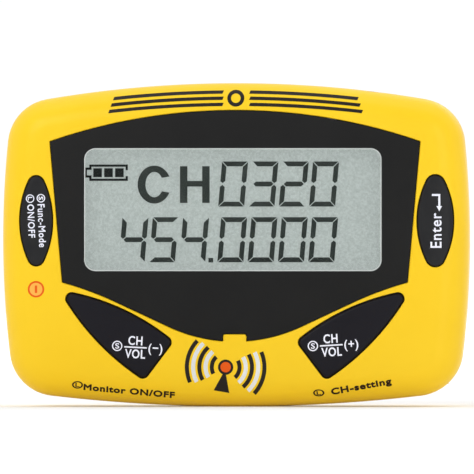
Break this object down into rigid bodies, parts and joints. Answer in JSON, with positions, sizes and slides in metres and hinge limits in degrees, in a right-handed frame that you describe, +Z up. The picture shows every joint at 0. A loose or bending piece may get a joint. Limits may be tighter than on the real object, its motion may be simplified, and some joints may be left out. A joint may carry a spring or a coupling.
{
  "type": "pager",
  "caption": "Belt-worn pocket radio receiver in a curved two-half case with a display, oval and shield-shaped buttons, an earphone jack, a sliding cell door and a sprung belt clip.",
  "frame": {"origin": "the middle of the bottom of the whole object's box, on the surface it stands on", "axes": "+Z up, -Y out of the display, +X to the right as seen from the front"},
  "size_m": [0.0824, 0.0254, 0.0572],
  "materials": {
    "chip_black": "epoxy",
    "led_body": "white LED",
    "cell_wrap": "plain dark wrapper",
    "case_yellow": "satin yellow moulded plastic",
    "clip_black": "black moulded nylon",
    "screw_steel": "zinc-plated steel",
    "spring_steel": "spring steel",
    "tin_plate": "tinned steel",
    "lens_clear": "clear acrylic lens",
    "button_black": "satin blue-black",
    "plunger_plastic": "white nylon",
    "jack_black": "black nylon",
    "plate_black": "matte black",
    "frame_white": "white plastic",
    "lcd_glass": "thin glass",
    "polarizer_film": "grey polarizing film",
    "reflector_film": "grey-green reflector",
    "guide_plastic": "milky acrylic",
    "copper": "copper strap",
    "board_green": "green solder mask",
    "nickel": "nickel-plated steel",
    "switch_metal": "steel and black plastic",
    "foam_black": "black foam",
    "zebra_rubber": "pink silicone with carbon"
  },
  "bodies": {
    "case": {"audio_amplifier": "chip_black", "backlight_leds": "led_body", "battery_cell": "cell_wrap", "board_screws": "screw_steel", "capacitors": "chip_black", "case_screws": "screw_steel", "chip_components": "chip_black", "clip_hinge_pin": "screw_steel", "clip_spring": "spring_steel", "crystal_filter": "tin_plate", "display_window": "lens_clear", "earphone_jack": "jack_black", "faceplate": "plate_black", "front_case": "case_yellow", "lcd_frame": "frame_white", "lcd_front_glass": "lcd_glass", "lcd_front_polarizer": "polarizer_film", "lcd_rear_glass": "lcd_glass", "lcd_reflector": "reflector_film", "light_guide": "guide_plastic", "loop_antenna": "copper", "main_board": "board_green", "microcontroller": "chip_black", "negative_spring": "nickel", "positive_contact": "nickel", "rear_case": "case_yellow", "receiver_shield": "tin_plate", "switch_bases": "switch_metal", "window_gasket": "foam_black", "zebra_strips": "zebra_rubber"},
    "mode_button": {"mode_button": "button_black", "mode_switch_plunger": "plunger_plastic"},
    "enter_button": {"enter_button": "button_black", "enter_switch_plunger": "plunger_plastic"},
    "down_button": {"down_button": "button_black", "down_switch_plunger": "plunger_plastic"},
    "up_button": {"up_button": "button_black", "up_switch_plunger": "plunger_plastic"},
    "battery_door": {"battery_door": "case_yellow"},
    "belt_clip": {"belt_clip": "clip_black"}
  },
  "joints": [
    {"name": "mode_press", "type": "slide", "parent": "case", "child": "mode_button", "axis": [0, 1, 0], "range_m": [0, 0.00035], "stiffness_N_per_m": 600, "springref_m": -0.002},
    {"name": "enter_press", "type": "slide", "parent": "case", "child": "enter_button", "axis": [0, 1, 0], "range_m": [0, 0.00035], "stiffness_N_per_m": 600, "springref_m": -0.002},
    {"name": "down_press", "type": "slide", "parent": "case", "child": "down_button", "axis": [0, 1, 0], "range_m": [0, 0.00035], "stiffness_N_per_m": 600, "springref_m": -0.002},
    {"name": "up_press", "type": "slide", "parent": "case", "child": "up_button", "axis": [0, 1, 0], "range_m": [0, 0.00035], "stiffness_N_per_m": 600, "springref_m": -0.002},
    {"name": "door_slide", "type": "slide", "parent": "case", "child": "battery_door", "axis": [1, 0, 0], "range_m": [0, 0.055]},
    {"name": "clip_hinge", "type": "hinge", "parent": "case", "child": "belt_clip", "pos_m": [0, 0.0091, 0.0446], "axis": [1, 0, 0], "range_deg": [0, 15], "stiffness_Nm_per_rad": 0.3, "springref_deg": -34.38, "deforming": ["clip_spring"]}
  ]
}
